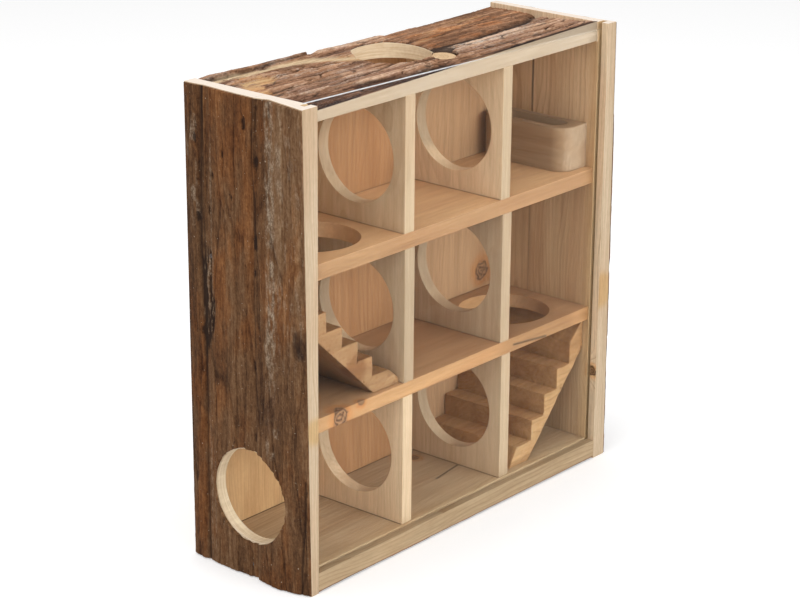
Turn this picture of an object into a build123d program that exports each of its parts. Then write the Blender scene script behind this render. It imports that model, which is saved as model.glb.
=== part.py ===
from build123d import *
import os

# Wooden hamster house: nine cells on three levels between two bark-faced side boards, behind a
# clear pane that lifts out of its grooves. Millimetres, +Z up, front towards -Y. The origin is
# the middle of the footprint, on the surface that the house stands on.

os.makedirs("parts", exist_ok=True)

# ---- overall sizes ----
inner_width = 277.0  # between the two side boards
depth = 96.0  # front edge of the side boards to the back
side_board_rise = 12.55  # side boards above the ceiling of the top row

# ---- levels, from the ground up ----
ground_gap = 1.0  # under the bottom board
bottom_bark = 3.0
floor_wood = 9.25
bottom_row = 84.6  # clear height of each row of cells
middle_row = 85.6
top_row = 84.8
lower_shelf_thickness = 9.2
upper_shelf_thickness = 10.0

# ---- boards ----
bark_crown = 2.4  # bark on a side board, away from the seams
bark_rim = 1.0  # bark at a seam
bark_bevel = 8.0  # width of the slope from rim to crown
bark_end_gap = 0.6  # the bark stops short of a sawn end
bottom_seam = 41.0  # from the front
top_seam = 52.0
bottom_wane = 12.0  # width of the sloped underside along the floor's front edge
bottom_bark_rim = 0.55  # bark at that edge
back_thickness = 9.0
back_seams = (-46.0, 46.0)  # from the middle
divider_thickness = 9.0

# ---- clear pane and its grooves ----
pane_thickness = 2.0
pane_setback = 5.5  # pane's front face behind the front edges
pane_clearance = 0.3  # on each face
pane_side_clearance = 0.5  # at each edge
pane_left_proud = 1.25  # left end of its top edge, above the side boards
pane_right_sunk = 4.75  # right end, below them: the edge is sawn out of square
side_groove_depth = 5.5
floor_groove_depth = 3.0
groove_lip = 0.95  # between the grooves and the shelves' front edges
cell_setback = pane_setback + pane_thickness + pane_clearance + groove_lip

# ---- openings ----
run_hole_diameter = 60.0  # in dividers and shelves
side_entrance_diameter = 59.0
side_entrance_height = 52.75
side_entrance_from_front = 46.5
top_entrance_diameter = 50.0
top_entrance_x = -4.0
top_entrance_from_front = 60.0
upper_hole_offset = 2.8  # towards +X from the middle of the cell above it
lower_hole_offset = 1.9

# ---- side planks, front to back: (distance from the front, wood at the foot, wood at the top) ----
left_front_seam = 40.0
left_seam_margin = 6.0  # wood between the side entrance and the seam behind it
left_back_seam = side_entrance_from_front + side_entrance_diameter / 2 + left_seam_margin
left_planks = {
    "front": [(0.0, 6.5, 13.0), (20.0, 10.4, 9.5), (30.0, 10.2, 7.5), (left_front_seam, 9.8, 10.6)],
    "middle": [
        (left_front_seam, 7.8, 10.0),
        ((left_front_seam + left_back_seam) / 2, 8.0, 9.6),
        (left_back_seam, 7.4, 8.0),
    ],
    "back": [(left_back_seam, 7.4, 8.0), ((left_back_seam + depth) / 2, 7.0, 9.0), (depth, 7.0, 9.0)],
}
right_front_seam = 14.5
right_back_seam = 59.5
right_planks = {
    "front": [(0.0, 12.0, 8.8), (right_front_seam, 11.0, 7.3)],
    "middle": [
        (right_front_seam, 10.0, 7.2),
        ((right_front_seam + right_back_seam) / 2, 11.6, 6.8),
        (right_back_seam, 9.5, 6.0),
    ],
    "back": [(right_back_seam, 9.0, 6.0), ((right_back_seam + depth) / 2, 10.0, 6.5), (depth, 8.5, 6.0)],
}

# ---- top board: heights above the ceiling as (from the front, left end, middle, right end) ----
top_front_crown = 20.0
top_back_crown = depth - 16.0
top_wood = [
    (cell_setback, 6.5, 9.7, 12.7),
    (top_front_crown, 6.3, 8.6, 10.5),
    (top_seam, 6.6, 8.4, 7.0),
    (top_back_crown, 9.0, 10.2, 6.5),
    (depth, 7.0, 7.0, 6.0),
]
top_skin = [
    (cell_setback, 7.5, 10.6, 13.4),
    (top_front_crown, 9.9, 11.2, 12.6),
    (top_seam, 8.8, 9.8, 9.6),
    (top_back_crown, 12.0, 11.3, 10.0),
    (depth, 11.0, 8.3, 9.4),
]

# ---- dividers: how far each stands off even spacing, left and right ----
bottom_divider_offsets = (0.0, 2.4)
middle_divider_offsets = (0.8, 0.5)
top_divider_offsets = (0.1, -1.7)

# ---- branch stub in a pit in the top board ----
stub_diameter = 17.0
stub_overlap = 1.75  # with the entrance, which is cut through it
stub_direction = -64.0  # degrees, from the middle of the entrance
stub_sunk = 1.7  # middle of its sawn face, below the bark round it
stub_slope = 4.0  # degrees, of its sawn face, down towards the front left
stub_bearing = 50.0  # degrees, from the front round to the left
pit_diameter = 20.0
pit_shift = 4.2  # from the stub, up its slope
pit_floor_wood = 4.0  # left under the pit

# ---- stairs: heights from the board that each stands on, lengths from the free end of its foot ----
stair_setback = 3.7  # behind the shelves' front edges
stair_back_gap = 0.5
left_stair_gap = 0.5  # between its foot and the divider
left_stair_foot = 24.1  # length of the sawn foot on the shelf
left_stair_nose = [(0.5, 3.5), (9.1, 11.1)]
left_stair_first_tread = 24.8  # end of the lowest tread
left_stair_landing = 7.0  # last tread, at the wall
left_stair_headroom = 9.5  # above that tread
left_stair_butt = 18.6  # height of the end against the wall
left_stair_risers = 5
right_stair_gap = 6.4
right_stair_foot = 20.5
right_stair_nose = [(8.0, 13.0)]
right_stair_first_tread = 23.45
right_stair_landing = 14.0
right_stair_headroom = 14.0
right_stair_butt = 20.3
right_stair_risers = 4
right_stair_shelf_gap = 0.3  # between its tip and the shelf above

# ---- food trough ----
trough_width = 24.5
trough_height = 29.5
trough_corner = 11.0
trough_setback = 5.75  # behind the shelf's front edge
trough_back_gap = 2.5
slot_width = 14.0
slot_depth = 20.0
slot_end_wall = 9.0

# ---- nails ----
nail_diameter = 1.4
nail_length = 22.0
nail_head_diameter = 2.8
nail_head_height = 1.0
nail_clearance = 0.05
head_gap = 0.1  # between a head and the sloping wood under it
head_clearance = 0.4  # in the hole through the bark
back_nail_length = 16.0
board_nails_from_front = (22.0, 46.0, 68.0, depth - 8.0)  # into the floor and the top board
shelf_nails_from_front = (22.0, depth - 20.0)
back_nails_from_side = (23.5, 68.5, 116.0)  # from both side boards

# ---- derived places ----
LEFT, RIGHT = -1, 1
inner_face = inner_width / 2
front = -depth / 2
back = depth / 2
floor_under = ground_gap + bottom_bark
floor_top = floor_under + floor_wood
lower_shelf_under = floor_top + bottom_row
lower_shelf_top = lower_shelf_under + lower_shelf_thickness
upper_shelf_under = lower_shelf_top + middle_row
upper_shelf_top = upper_shelf_under + upper_shelf_thickness
ceiling = upper_shelf_top + top_row
board_height = ceiling + side_board_rise
groove_front = front + pane_setback - pane_clearance
groove_back = front + pane_setback + pane_thickness + pane_clearance
groove_foot = floor_top - floor_groove_depth
cell_front = front + cell_setback
cell_back = back - back_thickness
cell_depth = cell_back - cell_front
cell_middle = (cell_front + cell_back) / 2
divider_spacing = (inner_width + divider_thickness) / 3


def divider_lines(offsets):
    return -divider_spacing / 2 + offsets[0], divider_spacing / 2 + offsets[1]


bottom_dividers = divider_lines(bottom_divider_offsets)
middle_dividers = divider_lines(middle_divider_offsets)
top_dividers = divider_lines(top_divider_offsets)
rows = {
    "bottom": (floor_top, lower_shelf_under, bottom_dividers),
    "middle": (lower_shelf_top, upper_shelf_under, middle_dividers),
    "top": (upper_shelf_top, ceiling, top_dividers),
}
upper_hole_x = (top_dividers[0] - divider_thickness / 2 - inner_face) / 2 + upper_hole_offset
lower_hole_x = (middle_dividers[1] + divider_thickness / 2 + inner_face) / 2 + lower_hole_offset
side_entrance_y = front + side_entrance_from_front
left_stair_length = inner_face + middle_dividers[0] - divider_thickness / 2 - left_stair_gap
right_stair_length = inner_face - bottom_dividers[1] - divider_thickness / 2 - right_stair_gap
nail_levels = {
    "floor": floor_top - floor_wood / 2,
    "lower_shelf": lower_shelf_under + lower_shelf_thickness / 2,
    "upper_shelf": upper_shelf_under + upper_shelf_thickness / 2,
    "top": ceiling + top_wood[2][1] / 2,
}


def save(piece, label):
    piece.part.label = label
    export_step(piece.part, f"parts/{label}.step")


def span_box(x_from, x_to, y_from, y_to, z_from, z_to, mode=Mode.ADD):
    """A box between two limits on each axis, in the part being built."""
    with Locations(((x_from + x_to) / 2, (y_from + y_to) / 2, (z_from + z_to) / 2)):
        Box(x_to - x_from, y_to - y_from, z_to - z_from, mode=mode)


def cut_along_x(x, y, z, diameter, length):
    with Locations((x, y, z)):
        Cylinder(diameter / 2, length, rotation=(0, 90, 0), mode=Mode.SUBTRACT)


def cut_along_z(x, y, z, diameter, length):
    with Locations((x, y, z)):
        Cylinder(diameter / 2, length, mode=Mode.SUBTRACT)


def between(low, high, share):
    return low + (high - low) * share


# ---- side boards ----
def wood_depth(stations, from_front, height):
    """Thickness of a plank's wood, between its stations across and its foot and top along."""
    for (y_from, foot_from, head_from), (y_to, foot_to, head_to) in zip(stations, stations[1:]):
        if y_from <= from_front <= y_to:
            share = (from_front - y_from) / (y_to - y_from)
            foot = between(foot_from, foot_to, share)
            return between(foot, between(head_from, head_to, share), height / board_height)
    raise ValueError(from_front)


def bark_depth(stations, from_front):
    inset = min(from_front - stations[0][0], stations[-1][0] - from_front)
    bevel = min(bark_bevel, (stations[-1][0] - stations[0][0]) / 3)
    return between(bark_rim, bark_crown, min(inset / bevel, 1.0))


def plank_outline(side, stations, height):
    y_from, y_to = stations[0][0], stations[-1][0]
    outer = [(side * (inner_face + wood_depth(stations, y, height)), front + y) for y, _, _ in stations]
    return [(side * inner_face, front + y_to), (side * inner_face, front + y_from), *outer]


def bark_outline(side, stations, height):
    y_from, y_to = stations[0][0], stations[-1][0]
    bevel = min(bark_bevel, (y_to - y_from) / 3)
    places = sorted({y for y, _, _ in stations} | {y_from + bevel, y_to - bevel})
    wood = [(y, inner_face + wood_depth(stations, y, height)) for y in places]
    under = [(side * x, front + y) for y, x in wood]
    skin = [(side * (x + bark_depth(stations, y)), front + y) for y, x in wood]
    return under[::-1] + skin


def upright(outline, side, stations, foot, head):
    """A plank or its bark, lofted from its outline at the foot to its outline at the head."""
    sections = []
    for height in (foot, head):
        with BuildSketch(Plane.XY.offset(height)) as section:
            with BuildLine():
                Polyline(*outline(side, stations, height), close=True)
            make_face()
        sections.append(section.sketch)
    loft(sections, ruled=True)


def nails_in(stations):
    """A plank's nails: level, distance from the front, height, and where the head sits."""
    for level, height in nail_levels.items():
        for y in shelf_nails_from_front if "shelf" in level else board_nails_from_front:
            if stations[0][0] < y < stations[-1][0]:
                rims = (y - nail_head_diameter / 2, y + nail_head_diameter / 2)
                seat = inner_face + max(wood_depth(stations, rim, height) for rim in rims) + head_gap
                yield level, y, height, seat


def drill_for_nail(side, y, height, seat):
    """A nail's hole, from its tip to just past its head."""
    reach = nail_length + nail_clearance + nail_head_height
    middle = seat + nail_head_height - reach / 2
    cut_along_x(side * middle, front + y, height, nail_diameter + 2 * nail_clearance, reach)


def side_board(side, prefix, planks):
    for name, stations in planks.items():
        nails = list(nails_in(stations))
        with BuildPart() as plank:
            upright(plank_outline, side, stations, 0, board_height)
            if name == "front":
                groove_bottom = side * (inner_face + side_groove_depth)
                x_from, x_to = sorted((side * inner_face, groove_bottom))
                span_box(x_from, x_to, groove_front, groove_back, groove_foot, board_height, Mode.SUBTRACT)
            for _, y, height, seat in nails:
                drill_for_nail(side, y, height, seat)
            if side == LEFT:
                cut_along_x(-inner_face, side_entrance_y, side_entrance_height, side_entrance_diameter, depth)
        save(plank, f"{prefix}_plank_{name}")
        with BuildPart() as bark:
            upright(bark_outline, side, stations, bark_end_gap, board_height - bark_end_gap)
            for _, y, height, seat in nails:
                cut_along_x(side * seat, front + y, height, nail_head_diameter + 2 * head_clearance, depth)
            if side == LEFT:
                cut_along_x(-inner_face, side_entrance_y, side_entrance_height, side_entrance_diameter, depth)
        save(bark, f"{prefix}_bark_{name}")


side_board(LEFT, "left", left_planks)
side_board(RIGHT, "right", right_planks)


def end_nail_holes(at_level, y_from, y_to):
    """Holes for the side boards' nails, in both ends of a board that lies between them."""
    for side, planks in ((LEFT, left_planks), (RIGHT, right_planks)):
        for stations in planks.values():
            for level, y, height, seat in nails_in(stations):
                if level == at_level and y_from < y < y_to:
                    drill_for_nail(side, y, height, seat)


# ---- bottom board: two planks with bark beneath ----
def lengthwise(points):
    """A profile across the depth, drawn as (depth, height), run between the side boards."""
    with BuildSketch(Plane.YZ.offset(-inner_face)) as profile:
        with BuildLine():
            Polyline(*points, close=True)
        make_face()
    extrude(profile.sketch, amount=inner_width)


seam_y = front + bottom_seam
wane_y = front + bottom_wane
edge_under = ground_gap + bottom_bark_rim
with BuildPart() as bottom_plank_front:
    lengthwise([(front, edge_under), (front, floor_top), (seam_y, floor_top), (seam_y, floor_under),
                (wane_y, floor_under)])
    span_box(-inner_face, inner_face, groove_front, groove_back, groove_foot, floor_top, Mode.SUBTRACT)
    end_nail_holes("floor", 0, bottom_seam)
save(bottom_plank_front, "bottom_plank_front")

with BuildPart() as bottom_plank_back:
    span_box(-inner_face, inner_face, seam_y, back, floor_under, floor_top)
    end_nail_holes("floor", bottom_seam, depth)
save(bottom_plank_back, "bottom_plank_back")

with BuildPart() as bottom_bark_front:
    lengthwise([(front, ground_gap), (front, edge_under), (wane_y, floor_under), (seam_y, floor_under),
                (seam_y, ground_gap)])
save(bottom_bark_front, "bottom_bark_front")

with BuildPart() as bottom_bark_back:
    span_box(-inner_face, inner_face, seam_y, back, ground_gap, floor_under)
save(bottom_bark_back, "bottom_bark_back")


# ---- shelves ----
back_nail_places = [side * (inner_face - place) for place in back_nails_from_side for side in (LEFT, RIGHT)]


def shelf(label, under, top, level, hole_x):
    with BuildPart() as board:
        span_box(-inner_face, inner_face, cell_front, cell_back, under, top)
        cut_along_z(hole_x, cell_middle, (under + top) / 2, run_hole_diameter, board_height / 2)
        end_nail_holes(level, 0, depth)
        for x in back_nail_places:
            with Locations((x, back, nail_levels[level])):
                Cylinder(nail_diameter / 2 + nail_clearance, 2 * (back_nail_length + nail_clearance),
                         rotation=(90, 0, 0), mode=Mode.SUBTRACT)
    save(board, label)


shelf("lower_shelf", lower_shelf_under, lower_shelf_top, "lower_shelf", lower_hole_x)
shelf("upper_shelf", upper_shelf_under, upper_shelf_top, "upper_shelf", upper_hole_x)

# ---- dividers, each with a run hole in the middle ----
for row, (row_foot, row_head, centre_lines) in rows.items():
    for side_name, centre in zip(("left", "right"), centre_lines):
        with BuildPart() as divider:
            span_box(centre - divider_thickness / 2, centre + divider_thickness / 2,
                     cell_front, cell_back, row_foot, row_head)
            cut_along_x(centre, cell_middle, (row_foot + row_head) / 2, run_hole_diameter, inner_width / 4)
        save(divider, f"divider_{row}_{side_name}")

# ---- back panel: three upright staves between the floor and the top board ----
stave_edges = (-inner_face, *back_seams, inner_face)
for name, x_from, x_to in zip(("left", "middle", "right"), stave_edges, stave_edges[1:]):
    with BuildPart() as stave:
        span_box(x_from, x_to, cell_back, back, floor_top, ceiling)
        for level in ("lower_shelf", "upper_shelf"):
            for x in back_nail_places:
                if x_from < x < x_to:
                    with Locations((x, back, nail_levels[level])):
                        Cylinder(nail_diameter / 2 + nail_clearance, 3 * back_thickness,
                                 rotation=(90, 0, 0), mode=Mode.SUBTRACT)
                        Cylinder(nail_head_diameter / 2 + nail_clearance, 2 * nail_head_height,
                                 rotation=(90, 0, 0), mode=Mode.SUBTRACT)
    save(stave, f"back_stave_{name}")


# ---- top board: two tapered planks with bark on top ----
def across(from_front, corners):
    """A section across the width at a distance from the front, drawn as (x, height)."""
    with BuildSketch(Plane(origin=(0, front + from_front, 0), x_dir=(1, 0, 0), z_dir=(0, -1, 0))) as section:
        with BuildLine():
            Polyline(*corners, close=True)
        make_face()
    return section.sketch


top_stations = (-inner_face, 0, inner_face)


def top_layer(lower, upper, y_from, y_to):
    """A ruled layer of the top board between two tables of heights."""
    sections = []
    for (y, *low), (_, *high) in zip(lower, upper):
        if y_from <= y <= y_to:
            under = [(x, ceiling + height) for x, height in zip(top_stations, low)]
            over = [(x, ceiling + height) for x, height in zip(top_stations, high)]
            sections.append(across(y, under + over[::-1]))
    loft(sections, ruled=True)


def cut_top_entrance():
    cut_along_z(top_entrance_x, front + top_entrance_from_front, ceiling, top_entrance_diameter, depth)


def height_at(table, x, from_front):
    """Height from a table of the top board, at a place on it."""
    for (y_from, *low), (y_to, *high) in zip(table, table[1:]):
        if y_from <= from_front <= y_to:
            share = (from_front - y_from) / (y_to - y_from)
            left, middle, right = [between(a, b, share) for a, b in zip(low, high)]
            return ceiling + between(middle, right if x > 0 else left, abs(x) / inner_face)
    raise ValueError(from_front)


flat_ceiling = [(y, 0, 0, 0) for y, *_ in top_wood]
stub_reach = top_entrance_diameter / 2 - stub_overlap + stub_diameter / 2
stub_offset = Vector(stub_reach, 0, 0).rotate(Axis.Z, stub_direction)
stub_x = top_entrance_x + stub_offset.X
stub_y = front + top_entrance_from_front + stub_offset.Y
stub_foot = ceiling + pit_floor_wood / 2
stub_face = height_at(top_skin, stub_x, stub_y - front) - stub_sunk
pit_offset = Vector(0, pit_shift, 0).rotate(Axis.Z, -stub_bearing)
pit_x = stub_x + pit_offset.X
pit_y = stub_y + pit_offset.Y

with BuildPart() as stub:
    with Locations((stub_x, stub_y, stub_foot)):
        Cylinder(stub_diameter / 2, 2 * (stub_face - stub_foot),
                 align=(Align.CENTER, Align.CENTER, Align.MIN))
    sawn = Vector(0, 0, 1).rotate(Axis.X, stub_slope).rotate(Axis.Z, -stub_bearing)
    split(bisect_by=Plane(origin=(stub_x, stub_y, stub_face), z_dir=sawn), keep=Keep.BOTTOM)

with BuildPart() as top_plank_front:
    top_layer(flat_ceiling, top_wood, 0, top_seam)
    with Locations((pit_x, pit_y, ceiling + pit_floor_wood)):
        Cylinder(pit_diameter / 2, board_height - ceiling,
                 align=(Align.CENTER, Align.CENTER, Align.MIN), mode=Mode.SUBTRACT)
    add(stub.part)
    cut_top_entrance()
    end_nail_holes("top", 0, top_seam)
save(top_plank_front, "top_plank_front")

with BuildPart() as top_plank_back:
    top_layer(flat_ceiling, top_wood, top_seam, depth)
    cut_top_entrance()
    end_nail_holes("top", top_seam, depth)
save(top_plank_back, "top_plank_back")

with BuildPart() as top_bark_front:
    top_layer(top_wood, top_skin, 0, top_seam)
    cut_top_entrance()
    cut_along_z(pit_x, pit_y, ceiling, pit_diameter, depth)
save(top_bark_front, "top_bark_front")

with BuildPart() as top_bark_back:
    top_layer(top_wood, top_skin, top_seam, depth)
    cut_top_entrance()
save(top_bark_back, "top_bark_back")


# ---- stairs: a saw-toothed plank leaning from a shelf to a side board ----
def teeth(nose, first_tread, risers, landing, length, top_tread):
    """Corners of the treads and risers, as (distance towards the wall, height)."""
    foot_tread = nose[-1][1]
    run = (length - landing - first_tread) / (risers - 1)
    rise = (top_tread - foot_tread) / risers
    corners = []
    for step in range(risers):
        u = first_tread + step * run
        corners += [(u, foot_tread + step * rise), (u, foot_tread + (step + 1) * rise)]
    return corners


def stair(label, side, base, length, profile):
    """An upright profile, drawn from the free end of the foot, run back through the cell."""
    wall = side * inner_face
    with BuildPart() as plank:
        with BuildSketch(Plane(origin=(0, cell_front + stair_setback, 0), x_dir=(1, 0, 0), z_dir=(0, -1, 0))):
            with BuildLine():
                Polyline(*[(wall - side * (length - u), base + v) for u, v in profile], close=True)
            make_face()
        extrude(amount=-(cell_depth - stair_setback - stair_back_gap))
    save(plank, label)


left_top_tread = middle_row - left_stair_headroom
stair("left_stair", LEFT, lower_shelf_top, left_stair_length, [
    (0, 0),
    *left_stair_nose,
    *teeth(left_stair_nose, left_stair_first_tread, left_stair_risers, left_stair_landing,
           left_stair_length, left_top_tread),
    (left_stair_length, left_top_tread),
    (left_stair_length, left_top_tread - left_stair_butt),
    (left_stair_foot, 0),
])
right_top_tread = bottom_row - right_stair_headroom
right_tip = bottom_row - right_stair_shelf_gap
stair("right_stair", RIGHT, floor_top, right_stair_length, [
    (0, 0),
    *right_stair_nose,
    *teeth(right_stair_nose, right_stair_first_tread, right_stair_risers, right_stair_landing,
           right_stair_length, right_top_tread),
    (right_stair_length, right_tip),
    (right_stair_length, right_tip - right_stair_butt),
    (right_stair_foot, 0),
])

# ---- food trough: a block with a rounded slot, against the right board ----
trough_x = inner_face - trough_width / 2
trough_length = cell_depth - trough_setback - trough_back_gap
trough_y = cell_front + trough_setback + trough_length / 2
with BuildPart() as food_trough:
    with BuildSketch(Plane.XY.offset(upper_shelf_top)):
        with Locations((trough_x, trough_y)):
            Rectangle(trough_width, trough_length)
    extrude(amount=trough_height)
    free_corners = food_trough.edges().filter_by(Axis.Z).group_by(Axis.X)[0]
    fillet(free_corners, trough_corner)
    with BuildSketch(Plane.XY.offset(upper_shelf_top + trough_height)):
        with Locations((trough_x, trough_y)):
            SlotOverall(trough_length - 2 * slot_end_wall, slot_width, rotation=90)
    extrude(amount=-slot_depth, mode=Mode.SUBTRACT)
save(food_trough, "food_trough")

# ---- clear pane ----
pane_half = inner_face + side_groove_depth - pane_side_clearance
with BuildPart() as front_pane:
    with BuildSketch(Plane(origin=(0, front + pane_setback, 0), x_dir=(1, 0, 0), z_dir=(0, -1, 0))):
        with BuildLine():
            Polyline((-pane_half, groove_foot), (pane_half, groove_foot),
                     (pane_half, board_height - pane_right_sunk),
                     (-pane_half, board_height + pane_left_proud), close=True)
        make_face()
    extrude(amount=-pane_thickness)
save(front_pane, "front_pane")


# ---- nails ----
def nail_group(label, side, planks):
    """Nails driven through a side board, heads on the wood in the bark's holes."""
    with BuildPart() as group:
        for stations in planks.values():
            for _, y, height, seat in nails_in(stations):
                with Locations((side * (seat - nail_length / 2), front + y, height)):
                    Cylinder(nail_diameter / 2, nail_length, rotation=(0, 90, 0))
                with Locations((side * (seat + nail_head_height / 2), front + y, height)):
                    Cylinder(nail_head_diameter / 2, nail_head_height, rotation=(0, 90, 0))
    save(group, label)


nail_group("left_nails", LEFT, left_planks)
nail_group("right_nails", RIGHT, right_planks)

with BuildPart() as back_nails:
    for level in ("lower_shelf", "upper_shelf"):
        for x in back_nail_places:
            with Locations((x, back - back_nail_length / 2, nail_levels[level])):
                Cylinder(nail_diameter / 2, back_nail_length, rotation=(90, 0, 0))
            with Locations((x, back - nail_head_height / 2, nail_levels[level])):
                Cylinder(nail_head_diameter / 2, nail_head_height, rotation=(90, 0, 0))
save(back_nails, "back_nails")
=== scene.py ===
import math
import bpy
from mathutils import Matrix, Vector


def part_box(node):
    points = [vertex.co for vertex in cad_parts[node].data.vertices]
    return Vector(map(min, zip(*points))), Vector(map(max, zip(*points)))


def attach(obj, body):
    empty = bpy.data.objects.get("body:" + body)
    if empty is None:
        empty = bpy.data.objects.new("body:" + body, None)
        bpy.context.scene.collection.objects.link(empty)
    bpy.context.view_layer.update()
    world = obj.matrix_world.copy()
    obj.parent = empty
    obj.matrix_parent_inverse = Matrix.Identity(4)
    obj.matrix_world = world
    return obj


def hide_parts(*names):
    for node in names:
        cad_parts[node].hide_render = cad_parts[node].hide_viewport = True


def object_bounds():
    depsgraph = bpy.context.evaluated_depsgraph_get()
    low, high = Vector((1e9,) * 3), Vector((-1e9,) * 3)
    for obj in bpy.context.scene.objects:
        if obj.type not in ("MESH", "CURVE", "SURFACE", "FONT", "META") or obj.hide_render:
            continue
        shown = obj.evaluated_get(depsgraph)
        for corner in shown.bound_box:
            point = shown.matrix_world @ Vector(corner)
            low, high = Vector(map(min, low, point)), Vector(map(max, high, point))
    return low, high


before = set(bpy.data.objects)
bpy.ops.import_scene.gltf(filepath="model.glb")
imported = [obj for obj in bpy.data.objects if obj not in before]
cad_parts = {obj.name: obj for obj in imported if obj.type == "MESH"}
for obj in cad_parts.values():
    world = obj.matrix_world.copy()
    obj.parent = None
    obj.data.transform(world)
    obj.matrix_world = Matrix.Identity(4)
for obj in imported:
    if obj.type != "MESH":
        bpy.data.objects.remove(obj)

from types import SimpleNamespace

import bmesh
import bpy
import numpy as np
from mathutils import Matrix, Vector
from mathutils.bvhtree import BVHTree

# Wooden hamster house, dressed over the CAD frame: sawn boards with solid grain, bark skins with
# cracks and torn layers, a clear pane and wire nails. The house's lengths are in millimetres, as the
# CAD's are, and MM turns them into Blender's metres. Lights, floor and camera are placed in metres.

MM = 0.001
cad_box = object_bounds()
CAD_LOW, CAD_HIGH = (np.array(corner) / MM for corner in cad_box)
HOUSE, PANE = "house", "pane"

# ---------------------------------------------------------------- measured places
DEPTH_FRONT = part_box("left_plank_front")[0][1] / MM  # the boards' front edge
INNER_FACE = 138.5  # of the side boards, from the middle
ROOF_FOOT = 287.0  # where the roof board meets the side boards
ENTRANCE = (52.75, -1.5, 29.5)  # the side entrance: height, depth and radius
ROOF_HOLE = (-4.0, 12.0, 25.0)  # the top entrance: width, depth and radius
STUB = (9.918, -16.537, 8.5)  # the branch stub beside it, likewise
PIT = (13.136, -13.837, 10.0)  # the hollow that the stub stands in
PIT_FLOOR = 290.0  # nothing of the pit lies below this height
GROOVE = (-42.8, -40.2)  # the pane's grooves, front and back
GROOVE_SLACK, CIRCLE_SLACK = 0.4, 0.6  # how far a face's corners may lie outside those places
RIGHT_SEAMS = (14.5, 59.5)  # between the right board's planks, from the front
SKIN_LAYERS = ("height", "tone", "warm", "bare", "lichen", "crack")  # what a bark mesh tells its material


# ---------------------------------------------------------------- noise
def lattice(i, j, seed):
    """A repeatable value from 0 to 1 for each lattice point."""
    n = (i * 374761393 + j * 668265263 + seed * 2147483647) & 0xFFFFFFFF
    n = ((n ^ (n >> 13)) * 1274126177) & 0xFFFFFFFF
    n = ((n ^ (n >> 15)) * 2246822519) & 0xFFFFFFFF
    return ((n ^ (n >> 16)) & 0xFFFFFF) / 0xFFFFFF


def noise(x, y, seed=0):
    """Smooth noise from -1 to 1."""
    x, y = np.broadcast_arrays(np.asarray(x, float), np.asarray(y, float))
    xi, yi = np.floor(x).astype(np.int64), np.floor(y).astype(np.int64)
    xf, yf = x - xi, y - yi
    u = xf * xf * xf * (xf * (xf * 6 - 15) + 10)
    v = yf * yf * yf * (yf * (yf * 6 - 15) + 10)
    low = lattice(xi, yi, seed) * (1 - u) + lattice(xi + 1, yi, seed) * u
    high = lattice(xi, yi + 1, seed) * (1 - u) + lattice(xi + 1, yi + 1, seed) * u
    return 2 * (low * (1 - v) + high * v) - 1


def fbm(x, y, octaves, seed=0):
    """Noise in several octaves, about -1 to 1."""
    total, weight, reach = 0.0, 1.0, 0.0
    for octave in range(octaves):
        total = total + weight * noise(x * 2 ** octave, y * 2 ** octave, seed + 17 * octave)
        reach += weight
        weight *= 0.5
    return total / reach * 1.4


def ease(low, high, value):
    """0 below the low value, 1 above the high one, and a smooth step between."""
    share = np.clip((value - low) / (high - low), 0.0, 1.0)
    return share * share * (3 - 2 * share)


def strip(value, start, stop, soft=0.7):
    """1 between two values, with soft ends."""
    return ease(start - soft, start + soft, value) * (1 - ease(stop - soft, stop + soft, value))


def near_line(across, along, path, width):
    """1 on a line drawn as (across, along) points, falling to 0 over a width."""
    best = np.full(np.shape(across), 1e9)
    for (b0, a0), (b1, a1) in zip(path, path[1:]):
        db, da = b1 - b0, a1 - a0
        share = np.clip(((across - b0) * db + (along - a0) * da) / (db * db + da * da), 0, 1)
        best = np.minimum(best, (across - b0 - share * db) ** 2 + (along - a0 - share * da) ** 2)
    return np.exp(-best / width ** 2)


def flakes(across, along, size, seed):
    """Long cells: each one's own number, how far a place is from its edge, and the place within it."""
    u, v = across / size[0], along / size[1]
    i0, j0 = np.floor(u).astype(np.int64), np.floor(v).astype(np.int64)
    nearest, second = np.full(u.shape, 9.0), np.full(u.shape, 9.0)
    number, tilt = np.zeros(u.shape), np.zeros(u.shape)
    for di in (-1, 0, 1):
        for dj in (-1, 0, 1):
            i, j = i0 + di, j0 + dj
            du = u - i - 0.1 - 0.8 * lattice(i, j, seed)
            dv = v - j - 0.1 - 0.8 * lattice(i, j, seed + 1)
            away = np.hypot(du, dv)
            closer = away < nearest
            second = np.where(closer, nearest, np.minimum(second, away))
            number = np.where(closer, lattice(i, j, seed + 2), number)
            tilt = np.where(closer, du * (lattice(i, j, seed + 3) - 0.5), tilt)
            nearest = np.where(closer, away, nearest)
    return number, second - nearest, tilt


def patch(across, along, centre, radius, seed, edge=0.35):
    """1 inside a ragged oval, 0 outside."""
    d = np.hypot((across - centre[0]) / radius[0], (along - centre[1]) / radius[1])
    d = d + 0.35 * fbm(across / radius[0] * 2.2, along / radius[1] * 2.2, 3, seed)
    return 1 - ease(1 - edge, 1, d)


def drawing_on(across, along):
    """Noise of a width and length, in octaves or one, lines, and ragged ovals, for one board's places."""
    def cloud(width, length, octaves, seed):
        return fbm(across / width, along / length, octaves, seed)

    def wisp(width, length, seed):
        return noise(across / width, along / length, seed)

    def line(path, width):
        return near_line(across, along, path, width)

    def spot(centre, radius, seed, edge=0.35):
        return patch(across, along, centre, radius, seed, edge)

    return cloud, wisp, line, spot


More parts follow.
